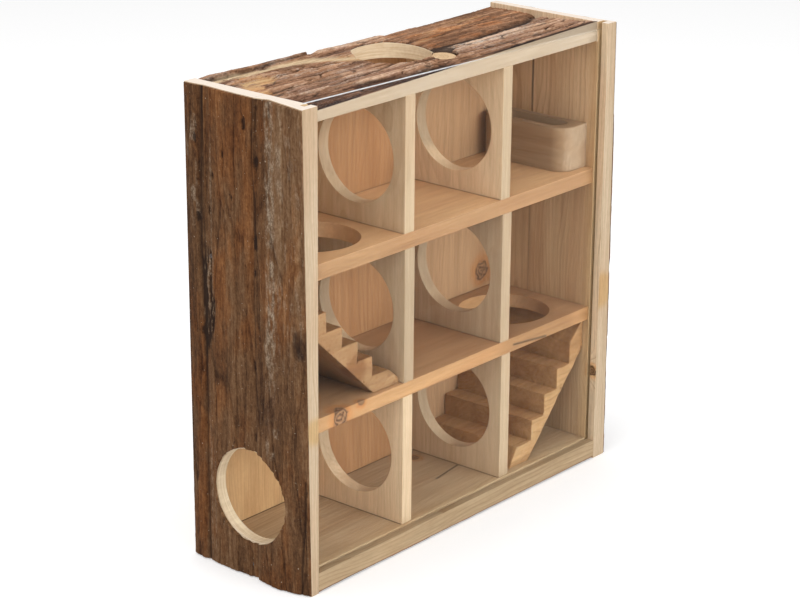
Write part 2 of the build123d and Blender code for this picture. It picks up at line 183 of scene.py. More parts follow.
# ---------------------------------------------------------------- materials
class Shader:
    """The nodes of a new material, or of the world, built call by call."""

    def __init__(self, name, world=None):
        self.owner = world or bpy.data.materials.new(name)
        self.owner.use_nodes = True
        self.tree = self.owner.node_tree
        self.tree.nodes.clear()
        self.output = self.node("OutputWorld" if world else "OutputMaterial")

    def node(self, kind, inputs=None, **settings):
        made = self.tree.nodes.new("ShaderNode" + kind)
        for key, value in settings.items():
            setattr(made, key, value)
        for key, value in (inputs or {}).items():
            self.feed(made.inputs[key], value)
        return made

    def feed(self, socket, value):
        if isinstance(value, bpy.types.NodeSocket):
            self.tree.links.new(value, socket)
        else:
            socket.default_value = value

    def math(self, operation, *values, clamp=False):
        inputs = dict(enumerate(values))
        return self.node("Math", inputs, operation=operation, use_clamp=clamp).outputs[0]

    def chain(self, operation, first, *others):
        for other in others:
            first = self.math(operation, first, other)
        return first

    def add(self, *values):
        return self.chain("ADD", *values)

    def times(self, *values):
        return self.chain("MULTIPLY", *values)

    def fit(self, value, low, high, to_low=0, to_high=1):
        limits = {0: value, 1: low, 2: high, 3: to_low, 4: to_high}
        return self.node("MapRange", limits, interpolation_type="SMOOTHSTEP").outputs[0]

    def vector(self, operation, a, b, output=0):
        return self.node("VectorMath", {0: a, 1: b}, operation=operation).outputs[output]

    def distance(self, a, b):
        return self.vector("DISTANCE", a, b, "Value")

    def axes(self, vector):
        return self.node("SeparateXYZ", {0: vector}).outputs

    def noise(self, vector, detail, rough):
        inputs = {"Vector": vector, "Scale": 1, "Detail": detail, "Roughness": rough}
        return self.node("TexNoise", inputs).outputs["Fac"]

    def scaled_noise(self, place, scale, detail, rough):
        return self.noise(self.vector("MULTIPLY", place, scale), detail, rough)

    def grain_on(self, axes, shift_along, *shifts):
        """A function for noise that has a length along the first of three axes and a width on the others."""
        def grain(length, width, offset, detail, rough):
            terms = zip(axes, (length, width, width), (shift_along + offset, *shifts))
            parts = {k: self.math("MULTIPLY_ADD", axis, 1 / size, shift)
                     for k, (axis, size, shift) in enumerate(terms)}
            return self.noise(self.node("CombineXYZ", parts).outputs[0], detail, rough)

        return grain

    def ramp(self, fac, stops):
        made = self.node("ValToRGB", {"Fac": fac})
        ramp = made.color_ramp
        while len(ramp.elements) < len(stops):
            ramp.elements.new(0.5)
        for element, (place, colour) in zip(ramp.elements, stops):
            element.position = place
            element.color = (*colour, 1)
        return made.outputs["Color"]

    def mix(self, fac, a, b, blend="MIX"):
        made = self.node("Mix", data_type="RGBA", blend_type=blend, clamp_factor=True)
        self.feed(made.inputs["Factor"], fac)
        self.feed(made.inputs[6], a if isinstance(a, bpy.types.NodeSocket) else (*a, 1))
        self.feed(made.inputs[7], b if isinstance(b, bpy.types.NodeSocket) else (*b, 1))
        return made.outputs[2]

    def tinted(self, colour, tint, share=1):
        """A colour multiplied by a tint, where the share is 1."""
        return self.mix(share, colour, tint, "MULTIPLY")

    def attribute(self, name):
        return self.node("Attribute", attribute_type="GEOMETRY", attribute_name=name).outputs["Fac"]

    def place(self):
        """The point on the piece, in millimetres in the frame."""
        coordinates = self.node("TexCoord").outputs["Object"]
        return self.vector("MULTIPLY", coordinates, (1 / MM,) * 3)

    def bump(self, height, distance, strength=1):
        inputs = {"Height": height, "Distance": distance * MM, "Strength": strength}
        return self.node("Bump", inputs).outputs[0]

    def blend(self, share, first, second):
        """One shader node, and another where the share is 1."""
        return self.node("MixShader", {0: share, 1: first.outputs[0], 2: second.outputs[0]})

    def surface(self, shader):
        self.feed(self.output.inputs["Surface"], shader.outputs[0])
        return self.owner

    def finish(self, **inputs):
        shader = self.node("BsdfPrincipled")
        for key, value in inputs.items():
            plain_colour = isinstance(value, tuple) and len(value) == 3
            self.feed(shader.inputs[key.replace("_", " ")], (*value, 1) if plain_colour else value)
        return self.surface(shader)


def shaded(colour, share):
    return tuple(share * v for v in colour)


def knot(s, place, ragged_edge, x, y, z, size):
    """A knot's swell, which bends the rings round it, its core, the circles in that, and its halo."""
    share = s.math("DIVIDE", s.distance(place, (x, y, z)), size)
    swell = s.math("EXPONENT", s.times(share, share, -0.16))
    wavy = s.add(share, s.math("MULTIPLY_ADD", ragged_edge, 1.1, -0.55))
    core = s.fit(wavy, 1.1, 0.85)
    circles = s.times(core, s.fit(s.math("PINGPONG", s.times(wavy, 2.6), 0.5), 0.1, 0.45))
    return swell, core, circles, s.fit(wavy, 2.1, 1.1)


def late_wood(s, b, c, pith, shifts, ring, seed):
    """The dark part of each year ring, 0 to 1. The shifts bend the rings away from true circles."""
    db, dc = s.add(b, -pith[0]), s.add(c, -pith[1])
    radius = s.math("SQRT", s.add(s.times(db, db), s.times(dc, dc)))
    turns = s.math("DIVIDE", s.add(radius, *shifts), ring)
    late = s.ramp(s.math("FRACT", turns), [(0, (0, 0, 0)), (0.5, (0.08,) * 3), (0.8, (0.4,) * 3),
                                           (0.95, (1, 1, 1)), (1, (0, 0, 0))])
    each = s.node("TexWhiteNoise", {"W": s.add(s.math("FLOOR", turns), seed)},
                  noise_dimensions="1D").outputs["Value"]
    return s.times(late, s.fit(each, 0, 1, 0.35, 1))


def end_grain(s, place, colour, facing, late, end):
    """The paler, porous look of a board's sawn ends."""
    pores = s.scaled_noise(place, (1.9,) * 3, 3, 0.7)
    sawn = s.mix(s.times(late, 0.45), end, shaded(end, 0.72))
    sawn = s.mix(s.fit(pores, 0.5, 0.75, 0, 0.5), sawn, shaded(end, 0.62))
    return s.mix(s.fit(s.math("ABSOLUTE", facing), 0.6, 0.9), colour, sawn)


def open_seam(s, parts, colour, depth):
    """A glue line at a depth, which opens and darkens on its way up to the roof."""
    off = s.math("ABSOLUTE", s.math("SUBTRACT", parts["Y"], depth))
    opened = s.times(s.fit(parts["Z"], 120, 285, 0.35, 1),
                     s.fit(parts["Z"], ROOF_FOOT + 0.5, ROOF_FOOT - 0.5))
    dirt = s.times(s.fit(off, s.fit(opened, 0, 1, 0.5, 1.3), 0.2), opened, 0.85)
    return s.mix(dirt, colour, (0.035, 0.016, 0.008))


def daylight(s, parts, normal, colour, tint):
    """A tint of painted light on what stands above the roof's foot or in front of the cells, ends apart."""
    lit = s.math("MAXIMUM", s.fit(parts["Z"], ROOF_FOOT - 0.5, ROOF_FOOT + 0.5),
                 s.fit(parts["Y"], -41, -42))
    return s.tinted(colour, tint, s.times(lit, s.fit(s.math("ABSOLUTE", normal["Z"]), 0.9, 0.6)))


def scar(s, place, colour, mottle, x0, y0, z0, x1, y1, z1, width):
    """A ragged line from one place to another."""
    span = Vector((x1 - x0, y1 - y0, z1 - z0))
    offset = s.vector("SUBTRACT", place, (x0, y0, z0))
    share = s.vector("DOT_PRODUCT", offset, tuple(span / span.length_squared), "Value")
    share = s.math("MULTIPLY", share, 1, clamp=True)
    on_line = s.node("VectorMath", {0: tuple(span), "Scale": share}, operation="SCALE").outputs[0]
    away = s.add(s.distance(offset, on_line), s.math("MULTIPLY_ADD", mottle, 0.8, -0.4))
    return s.fit(away, width, 0.3 * width, 0, 0.75)


def wood(name, pale, dark, along, pith, ring, contrast, seed, blush=None, wander=1, rough=0.62,
         streaks=0.65, speckle=0, front=None, end=None, seam=None, lit=None, knots=(), stains_and_light_patches=(), scars_and_shade_lines=()):
    """Sawn softwood: year rings round a pith line that runs along one axis, streaks, knots and fibres.

    Knots are (x, y, z, size), patches (x, y, z, size, tint), stains in some places and painted light in
    others, and lines (x, y, z, x, y, z, width), scars in some places and painted contact shadow in others.
    Front, end and lit are what those faces are tinted by, and seam is a depth. The front tint is painted
    light and shade on the faces that look forward, and the lit tint is painted light."""
    s = Shader(name)
    place = s.place()
    parts = s.axes(place)
    axes = [parts[k] for k in {"X": (0, 1, 2), "Y": (1, 0, 2), "Z": (2, 0, 1)}[along]]
    grain = s.grain_on(axes, seed, seed * 1.7, seed * 0.6)
    slow = grain(150, 46, 0, 2, 0.5)
    quick = grain(60, 9, 3.1, 2, 0.5)
    streak = grain(46, 1.5, 5, 4, 0.68)
    mottle = grain(4.5, 1.7, 2, 3, 0.7)
    shifts = [s.times(s.add(slow, -0.5), 26 * wander), s.times(s.add(quick, -0.5), 2.6)]
    if knots:
        ragged_edge = s.scaled_noise(place, (0.3,) * 3, 3, 0.6)
        swells, *looks = zip(*(knot(s, place, ragged_edge, *each) for each in knots))
        cores, circles, halos = (s.chain("MAXIMUM", *each) for each in looks)
        shifts += [s.times(swell, 3.4 * ring) for swell in swells]
    late = late_wood(s, axes[1], axes[2], pith, shifts, ring, seed)
    colour = s.mix(s.times(late, contrast), pale, dark)
    if blush:
        cloud = grain(90, 22, 7, 3, 0.55)
        colour = s.mix(s.fit(cloud, 0.42, 0.68), colour, s.mix(0.6, colour, blush))
    bands = grain(170, 5.5, 1, 3, 0.6)
    value = s.add(s.fit(streak, 0.28, 0.72, 0, 0.6), s.fit(bands, 0.3, 0.7, 0, 0.4),
                  s.fit(mottle, 0.3, 0.7, -0.13, 0.13))
    shades = [tuple(1 + streaks * v for v in tint) for tint in ((-0.26, -0.30, -0.36), (0.22, 0.24, 0.28))]
    colour = s.tinted(colour, s.mix(value, *shades))
    fine = grain(7, 0.5, 9, 2, 0.6)
    colour = s.mix(s.fit(fine, 0.6, 0.78, 0, 0.4 * streaks), colour, shaded(dark, 0.55))
    normal = s.axes(s.node("NewGeometry").outputs["True Normal"])
    # painted light and shade: the faces that look forward get their own tint
    if front:
        colour = s.tinted(colour, front, s.fit(normal["Y"], -0.6, -0.9))
    if end:
        colour = end_grain(s, place, colour, normal[along], late, end)
    if seam:
        colour = open_seam(s, parts, colour, seam)
    # painted light on what stands outside the cells
    if lit:
        colour = daylight(s, parts, normal, colour, lit)
    # tinted patches: real stains, and in places painted light
    for x, y, z, size, tint in stains_and_light_patches:
        share = s.math("DIVIDE", s.distance(place, (x, y, z)), size)
        share = s.add(share, s.math("MULTIPLY_ADD", slow, 1.2, -0.6))
        colour = s.tinted(colour, tint, s.fit(share, 1.2, 0.6))
    # dark lines: real scars, and painted contact shadow where boards meet
    for each in scars_and_shade_lines:
        colour = s.mix(scar(s, place, colour, mottle, *each), colour, shaded(dark, 0.22))
    height = s.add(s.times(streak, 0.8), s.times(late, 0.35))
    if speckle:
        grit = s.scaled_noise(place, (0.5,) * 3, 3, 0.7)
        colour = s.tinted(colour, (0.66, 0.50, 0.36), s.fit(grit, 0.5, 0.68, 0, speckle))
        height = s.add(height, s.times(grit, 1.5))
    if knots:
        colour = s.tinted(colour, (0.98, 0.72, 0.46), s.times(halos, 0.8))
        ringed = s.mix(circles, (0.085, 0.038, 0.016), (0.34, 0.185, 0.09))
        colour = s.mix(s.times(cores, 0.92), colour, ringed)
    return s.finish(Base_Color=colour, Roughness=s.fit(late, 0, 1, rough + 0.06, rough - 0.08),
                    Specular_IOR_Level=0.32, Normal=s.bump(height, 0.16, 0.55))


def bark_material(name, seed, along, tint, greys):
    """Bark and what shows where it is torn, from the mesh's height, tone, warmth and other layers."""
    s = Shader(name)
    place = s.place()
    parts = s.axes(place)
    axes = [parts[k] for k in {"X": (0, 1, 2), "Z": (2, 1, 0)}[along]]
    grain = s.grain_on(axes, seed, seed * 1.3, 0)
    height, tone, warm, bare, lichen, crack = (s.attribute(layer) for layer in SKIN_LAYERS)
    fibre = grain(9, 0.75, 0, 4, 0.7)
    mottle = grain(4.2, 2.4, 4, 4, 0.72)
    fleck = grain(1.5, 0.9, 9, 3, 0.7)
    clouds = grain(30, 11, 8, 3, 0.6)
    level = s.add(s.times(height, 0.34), s.times(fibre, 0.38), s.times(mottle, 0.36), s.times(fleck, 0.28),
                  s.times(tone, 0.16), -0.12)
    colour = s.ramp(level, [(0.26, (0.018, 0.008, 0.005)), (0.42, (0.070, 0.033, 0.016)),
                            (0.56, (0.140, 0.071, 0.036)), (0.70, (0.225, 0.130, 0.075)),
                            (0.88, (0.38, 0.27, 0.185))])
    ruddy = s.tinted(colour, (1.2, 0.93, 0.66))
    dusky = s.tinted(colour, (0.90, 0.92, 1.04))
    drift = s.add(warm, s.fit(clouds, 0.3, 0.7, -0.35, 0.35))
    colour = s.mix(s.fit(drift, -0.1, -1), s.mix(s.fit(drift, 0.1, 1), colour, ruddy), dusky)
    colour = s.tinted(colour, tint)
    grey = s.mix(s.fit(fleck, 0.35, 0.65), *greys)
    colour = s.mix(s.times(lichen, s.fit(mottle, 0.36, 0.62, 0.1, 1)), colour, grey)
    strings = grain(34, 1.3, 2, 4, 0.65)
    exposed = s.mix(s.fit(strings, 0.36, 0.66), (0.47, 0.21, 0.075), (0.76, 0.45, 0.21))
    exposed = s.tinted(exposed, (0.86, 0.98, 1.12), s.fit(clouds, 0.4, 0.6))
    cream = s.mix(s.fit(fibre, 0.35, 0.6), (0.47, 0.31, 0.17), (0.72, 0.55, 0.35))
    colour = s.mix(bare, colour, s.mix(s.fit(warm, -0.6, -1.4), exposed, cream))
    specks = s.fit(s.scaled_noise(place, (0.8, 0.8, 0.6), 1, 0.5), 0.74, 0.80)
    colour = s.mix(s.times(specks, 0.8), colour, (0.48, 0.37, 0.26))
    pits = s.fit(grain(5.5, 1.9, 13, 2, 0.5), 0.70, 0.78, 0, 0.7)
    colour = s.mix(pits, colour, (0.030, 0.014, 0.009))
    # the crack layer's near-black: the cracks' own dark, with painted shade in the deeper ones
    colour = s.mix(s.times(crack, 0.9), colour, (0.018, 0.009, 0.006))
    relief = s.add(fibre, mottle, s.times(fleck, 0.7))
    return s.finish(Base_Color=colour, Roughness=0.88, Specular_IOR_Level=0.2,
                    Normal=s.bump(relief, 0.6, 0.8))


def clear_plastic(name):
    """Clear acrylic sheet that lets the lamps' light through."""
    s = Shader(name)
    ray = s.node("LightPath").outputs
    glassy = s.node("BsdfPrincipled", {"Base Color": (0.985, 0.99, 0.99, 1), "IOR": 1.1,
                                       "Transmission Weight": 1, "Roughness": 0})
    through = s.node("BsdfTransparent", {"Color": (0.94, 0.95, 0.95, 1)})
    return s.surface(s.blend(ray["Is Shadow Ray"], glassy, through))


def sawn_plastic(name):
    """The sheet's sawn edge: frosted where the saw tore it, clearer towards the right end; that fall from
    white to clear along it is painted light and shade.
    """
    s = Shader(name)
    place = s.place()
    marks = s.scaled_noise(place, (0.35, 0.6, 3), 4, 0.65)
    # painted light: the edge's whiteness falls off from left to right
    frost_and_edge_light = s.times(s.fit(s.axes(place)["X"], -40, 45, 0.85, 0.10), s.fit(marks, 0.35, 0.6, 0.7, 1))
    white = s.node("BsdfDiffuse", {"Color": (0.86, 0.88, 0.90, 1)})
    through = s.node("BsdfTransparent", {"Color": (0.93, 0.95, 0.95, 1)})
    return s.surface(s.blend(frost_and_edge_light, through, white))


def bored_wood(name, pale, dark, axis):
    """A hole's wall, with the scratches that the hole saw left round it."""
    s = Shader(name)
    place = s.place()
    scratches = s.scaled_noise(place, tuple(1.15 if key == axis else 0.03 for key in "XYZ"), 3, 0.6)
    grain = s.scaled_noise(place, (0.05, 0.35, 0.3), 3, 0.6)
    level = s.add(s.fit(scratches, 0.3, 0.7, 0, 0.7), s.fit(grain, 0.35, 0.65, 0, 0.3))
    return s.finish(Base_Color=s.mix(level, dark, pale), Roughness=0.72, Specular_IOR_Level=0.3,
                    Normal=s.bump(scratches, 0.12, 0.5))


def rusty_steel(name):
    s = Shader(name)
    spots = s.scaled_noise(s.place(), (1.6,) * 3, 4, 0.65)
    return s.finish(Base_Color=s.mix(s.fit(spots, 0.4, 0.65), (0.15, 0.13, 0.12), (0.07, 0.032, 0.016)),
                    Metallic=0.7, Roughness=s.fit(spots, 0.4, 0.65, 0.42, 0.8),
                    Normal=s.bump(spots, 0.1, 0.7))


# ---------------------------------------------------------------- pieces
SAME_POINT = 1e-6  # metres
FLAT, SHARP = math.radians(0.6), math.radians(28)  # bends of faces that are one, and of edges to ease
SKIN_INSET = 0.02  # how far a bark's grid ends short of its solid
SKIN_MARGIN = 0.01  # how far it stays off the solid's inner face and the CAD box
HIGHEST_SWELL = 0.45  # the most that a relief without a rise may lift the bark
THINNEST_BARK, LEAST_SINK = 0.18, 0.05  # what carving leaves, and its depth where there is less
OUTSIDE = 400  # beyond the house on every side
INSIDE = {(0, -1): 0, (0, 1): 0, (2, 1): 100, (2, -1): 50}  # within the house, for each side's axis and sign


def new_object(name, data):
    made = bpy.data.objects.new(name, data)
    bpy.context.scene.collection.objects.link(made)
    return made


def new_piece(mesh, node, material, body=HOUSE):
    piece = new_object(mesh.name, mesh)
    mesh.materials.append(material)
    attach(piece, body)
    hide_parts(node)
    return piece


def close_mesh(bm, mesh, degrees):
    """Writes a bmesh into a mesh, smooth but for edges that bend more than an angle."""
    bm.to_mesh(mesh)
    bm.free()
    mesh.shade_smooth()
    mesh.set_sharp_from_angle(angle=math.radians(degrees))


def solid_of(node):
    """A CAD node's mesh with its flat faces whole, in a bmesh."""
    bm = bmesh.new()
    bm.from_mesh(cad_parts[node].data)
    bmesh.ops.remove_doubles(bm, verts=bm.verts, dist=SAME_POINT)
    bmesh.ops.dissolve_limit(bm, angle_limit=FLAT, verts=bm.verts, edges=bm.edges)
    return bm


def ease_edges(bm, width):
    """Takes the sharpness off the sawn outer edges."""
    sharp = [e for e in bm.edges if len(e.link_faces) == 2 and e.is_convex and e.calc_face_angle() > SHARP]
    bmesh.ops.bevel(bm, geom=sharp, offset=width * MM, offset_type="OFFSET", segments=2, profile=0.55,
                    affect="EDGES", clamp_overlap=False)
    bmesh.ops.recalc_face_normals(bm, faces=bm.faces)


def dress(node, material, width=0.35, body=HOUSE, name=None):
    """A node's solid with its edges eased."""
    bm = solid_of(node)
    ease_edges(bm, width)
    mesh = bpy.data.meshes.new(name or f"{node}_board")
    close_mesh(bm, mesh, 20)
    return new_piece(mesh, node, material, body)


def on_axis(axis, length):
    made = Vector((0, 0, 0))
    made[axis] = length
    return made


def rough_sawn(node, material, step, seed):
    """A sawn and worn piece: cut into a fine grid, then eased and roughened point by point."""
    bm = solid_of(node)
    low, high = (np.array(corner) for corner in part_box(node))
    for axis in range(3):
        for place in np.arange(low[axis] + step * MM / 2, high[axis], step * MM):
            bmesh.ops.bisect_plane(bm, geom=bm.verts[:] + bm.edges[:] + bm.faces[:], dist=1e-7,
                                   plane_co=on_axis(axis, place), plane_no=on_axis(axis, 1))
    ease_edges(bm, 0.5)
    bm.normal_update()
    where = np.array([v.co[:] for v in bm.verts]) / MM
    rough = fbm(where[:, 0] / 5 + where[:, 1] / 3, where[:, 2] / 4, 3, seed) * 0.28 \
        + fbm(where[:, 1] / 1.6, (where[:, 0] + where[:, 2]) / 7, 2, seed + 4) * 0.16
    worn, highest, on_edge = 0.18, 0.35, 0.02
    for vert, value, point in zip(bm.verts, rough, where):
        held = any(abs(point[k] - edge / MM) < on_edge for k in (0, 2) for edge in (low[k], high[k]))
        if not held:
            vert.co += vert.normal * (min(value, highest) - worn) * MM
    mesh = bpy.data.meshes.new(f"{node}_plank")
    close_mesh(bm, mesh, 40)
    new_piece(mesh, node, material)


def caster(node):
    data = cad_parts[node].data
    corners, faces = [v.co / MM for v in data.vertices], [tuple(p.vertices) for p in data.polygons]
    return BVHTree.FromPolygons(corners, faces)


def surface(tree, along, out, a, b, start, heading):
    """Where lines along the out axis first meet a solid, for each (along, Y) place. Gaps are bridged."""
    found = np.full(a.shape, np.nan)
    direction, origin = on_axis(out, heading), on_axis(out, start)
    for index in np.ndindex(a.shape):
        origin[along], origin[1] = a[index], b[index]
        hit = tree.ray_cast(origin, direction)[0]
        if hit is not None:
            found[index] = hit[out]
    for j in range(found.shape[1]):
        known = ~np.isnan(found[:, j])
        if known.any():
            found[:, j] = np.interp(a[:, j], a[known, j], found[known, j])
    return found


def grid_line(low, high, step):
    return np.linspace(low + SKIN_INSET, high - SKIN_INSET, round((high - low) / step) + 1)


def skin(name, node, along, out, sign, relief, material, holes=(), step=(1.1, 0.7)):
    """Bark over one plank: a fine grid laid on its CAD solid, sunk by its relief and closed underneath."""
    low, high = (np.array(corner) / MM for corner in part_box(node))
    rows, columns = (grid_line(low[k], high[k], size) for k, size in zip((along, 1), step))
    a, b = np.meshgrid(rows, columns, indexing="ij")
    open_place = np.zeros(a.shape, bool)
    for centre_a, centre_b, radius in holes:
        away, turn = np.hypot(a - centre_a, b - centre_b), np.arctan2(b - centre_b, a - centre_a)
        rim = radius(turn)
        inside = away < rim
        open_place |= inside
        a = np.where(inside, centre_a + rim * np.cos(turn), a)
        b = np.where(inside, centre_b + rim * np.sin(turn), b)
    tree = caster(node)
    outer = surface(tree, along, out, a, b, OUTSIDE * sign, -sign)
    inner = surface(tree, along, out, a, b, INSIDE[out, sign], sign)
    looks = relief(b - DEPTH_FRONT, a)
    deepest = np.maximum(np.abs(outer - inner) - THINNEST_BARK, LEAST_SINK)
    sink = np.clip(looks.sink, -HIGHEST_SWELL, deepest)
    top = outer - sign * (sink - looks.rise)
    top = np.clip(top, CAD_LOW[out] + SKIN_MARGIN, CAD_HIGH[out] - SKIN_MARGIN)
    kept = ~(open_place[:-1, :-1] & open_place[1:, :-1] & open_place[:-1, 1:] & open_place[1:, 1:])
    number = np.arange(a.size).reshape(a.shape)
    points = np.zeros((2 * a.size, 3))
    points[:, along] = np.tile(a.ravel(), 2)
    points[:, 1] = np.tile(b.ravel(), 2)
    points[:, out] = np.concatenate([top.ravel(), (inner + sign * SKIN_MARGIN).ravel()])
    corners = np.stack([number[:-1, :-1], number[1:, :-1], number[1:, 1:], number[:-1, 1:]], -1)[kept]
    edges = np.concatenate([corners[:, [k, (k + 1) % 4]] for k in range(4)])
    _, first, seen = np.unique(np.sort(edges, axis=1), axis=0, return_index=True, return_counts=True)
    rim_edges = edges[first[seen == 1]]
    walls = np.concatenate([rim_edges[:, ::-1], rim_edges + a.size], axis=1)
    faces = np.concatenate([corners, corners[:, ::-1] + a.size, walls])
    mesh = bpy.data.meshes.new(name)
    mesh.from_pydata((points * MM).tolist(), [], faces.tolist())
    for key in SKIN_LAYERS:
        values = np.tile(np.broadcast_to(getattr(looks, key), a.shape).ravel(), 2)
        mesh.attributes.new(key, "FLOAT", "POINT").data.foreach_set("value", values.astype(np.float32))
    bm = bmesh.new()
    bm.from_mesh(mesh)
    bmesh.ops.delete(bm, geom=[v for v in bm.verts if not v.link_faces], context="VERTS")
    bmesh.ops.recalc_face_normals(bm, faces=bm.faces)
    close_mesh(bm, mesh, 58)
    new_piece(mesh, node, material)


# ---------------------------------------------------------------- bark reliefs
# Each takes places by their distance across a board from its front and their place along it. Sink is
# how deep the bark is carved there and rise how far it is lifted. The others colour it.
def stringy(across, along, seed, plates=1):
    """Flat bark with low strips, strings and a few cracks, grown along a board."""
    cloud, wisp, _, _ = drawing_on(across, along)
    u = across + 1.5 * wisp(16, 70, seed) + 0.5 * wisp(4, 19, seed + 1)
    strips, edge, tilt = flakes(u + 0.35 * cloud(2, 9, 2, seed + 3), along, (9, 120), seed + 4)
    strings = fbm(u / 1.4, along / 26, 3, seed + 5)
    grit = cloud(1.3, 3, 3, seed + 9)
    seam = 1 - ease(0, 0.09, edge)
    return SimpleNamespace(
        sink=plates * (0.75 * (1 - strips) + 0.35 * seam - 0.4 * tilt) - 0.16 * strings - 0.14 * grit,
        height=np.clip(0.5 + 0.22 * (strips - 0.5) + 0.2 * strings + 0.12 * grit - 0.25 * seam, 0, 1),
        tone=0.35 * cloud(9, 45, 3, seed + 20),
        warm=0.8 * cloud(14, 60, 3, seed + 21),
        bare=0, lichen=0, rise=0,
        crack=0.25 * seam * ease(0, 0.4, noise(u / 5, along / 30, seed + 13)))


def flaky(across, along, seed, plates=1):
    """Thick bark in long torn flakes, each at its own height, with splintered ends and open cracks."""
    cloud, wisp, _, _ = drawing_on(across, along)
    u = across + 2.4 * wisp(15, 60, seed) + 0.7 * cloud(4, 13, 3, seed + 1)
    v = along + 7 * cloud(5, 22, 3, seed + 2)
    big, big_edge, big_tilt = flakes(u, v, (7.5, 64), seed + 3)
    small, small_edge, small_tilt = flakes(u + 0.3 * wisp(1, 5, seed + 5), v, (3, 30), seed + 7)
    strings = fbm(u / 0.9, along / 18, 3, seed + 11)
    grit = cloud(0.9, 2.4, 2, seed + 13)
    gap = 1 - ease(0.01, 0.09, big_edge)
    nick = (1 - ease(0, 0.08, small_edge)) * ease(-0.3, 0.3, noise(u / 7, v / 30, seed + 15))
    level = 0.55 * big + 0.25 * small - 0.7 * big_tilt - 0.4 * small_tilt
    return SimpleNamespace(
        sink=plates * (2.1 * (0.78 - level) + 0.8 * gap + 0.45 * nick) - 0.16 * strings - 0.1 * grit,
        height=np.clip(0.42 + 0.5 * (level - 0.3) + 0.16 * strings + 0.08 * grit - 0.3 * nick, 0, 1),
        tone=1.1 * (small - 0.5) + 0.7 * (big - 0.5),
        warm=1.2 * (small - 0.5) + 0.5 * cloud(8, 30, 3, seed + 21),
        bare=0, lichen=0, rise=0,
        crack=np.clip(0.8 * gap + 0.5 * nick, 0, 1))


def small_knots(spot, places, seed):
    """Long dark spots at (across, along, size) places."""
    return np.max([spot((y, z), (size, 2.6 * size), seed + int(z)) for y, z, size in places], axis=0)


def left_relief(across, along):
    cloud, wisp, line, spot = drawing_on(across, along)
    looks = stringy(across, along, 3)
    wave = across + 1.5 * wisp(11, 42, 30) + 0.9 * cloud(4, 10, 3, 29)
    groove = (0.45 + 0.55 * ease(120, 160, along)) * line([
        (82.5, 300), (83.4, 262), (84, 231), (84.6, 200), (83.5, 182), (82, 160), (83, 60), (82, 0)], 1.15)
    seam = line([(82, 300), (82, 0)], 0.6)
    split = line([(40, 300), (41.4, 263), (39.4, 240), (39, 216), (41, 191), (40.2, 150)], 0.8)
    split = split * ease(-0.8, 0, wisp(3, 16, 28))
    low_seam = line([(40, 160), (40, 0)], 0.5)
    low_split = line([(2.1, 74), (3, 45), (4.8, 25), (5.8, 0)], 0.6)
    torn = spot((79, 170), (6.5, 36), 31)
    shreds = torn * ease(-0.1, 0.35, cloud(1.1, 9, 2, 39))
    stain = spot((4.5, 158), (5, 14), 32, 0.8)
    knots = small_knots(spot, (
        (38, 262, 1.8), (39, 214, 2), (39.5, 196, 1.2), (87, 268, 1.5), (41, 137, 1.5), (86, 220, 1.6),
        (41.5, 92, 1.2), (83, 150, 2.2), (28, 292, 1.2), (64, 262, 1), (47, 284, 1.8), (77, 226, 1.3),
        (73, 248, 1), (57, 238, 0.9)), 50)
    ridge = strip(wave, 24.5, 31, 1.2) * ease(110, 160, along)
    frosted = spot((19, 262), (8, 40), 33, 0.8) * ease(-0.2, 0.5, cloud(4, 18, 3, 34))
    dashes = strip(wave, 0, 31, 2) * ease(0.3, 0.65, wisp(1.6, 7, 36))
    pale_back = strip(wave, 85, 94) * ease(195, 240, along) * ease(-0.1, 0.45, wisp(2, 9, 38))
    fibres = strip(wave, 74, 82) * ease(0, 0.5, wisp(1.3, 60, 37))
    dust, dusk = spot((27, 96), (6, 18), 40, 0.9), spot((31, 112), (10, 30), 41, 0.9)
    shade = spot((20, 158), (10, 12), 43, 0.9)
    upper = ease(110, 190, along)
    back_strip = strip(wave, 84, 99)
    looks.sink += 1.5 * groove + 0.9 * seam + 0.9 * split + 0.5 * low_seam + 0.9 * low_split \
        + 1.6 * torn * (1 - shreds) + 0.9 * knots - 0.45 * ridge + 0.35 * back_strip
    looks.crack = np.clip(
        looks.crack + 0.9 * groove + 0.5 * seam + 0.85 * split + 0.3 * low_seam + 0.85 * low_split
        + 0.9 * knots + 0.95 * torn * (1 - shreds) + 0.85 * stain, 0, 1)
    looks.lichen = np.clip(
        0.9 * ridge * ease(-0.7, 0.2, cloud(2, 8, 2, 35)) + 0.55 * frosted + 0.35 * dashes * upper
        + 0.65 * pale_back + 0.35 * fibres + 0.6 * shreds * torn
        + 0.9 * dust * ease(-0.2, 0.3, wisp(3, 5, 42)), 0, 1)
    looks.tone += 0.42 * strip(wave, -5, 31, 1.8) * upper - 0.22 * strip(wave, 31, 41) * upper \
        + 0.1 * strip(wave, 41, 74) * upper - 0.3 * back_strip - 0.5 * stain - 0.55 * dusk - 0.35 * shade
    looks.warm = 0.3 + looks.warm * 0.6 + 0.35 * strip(wave, 41, 74, 2.5) * upper \
        + 0.3 * back_strip * (1 - ease(150, 200, along)) - 0.8 * dusk - 0.5 * dust
    return looks


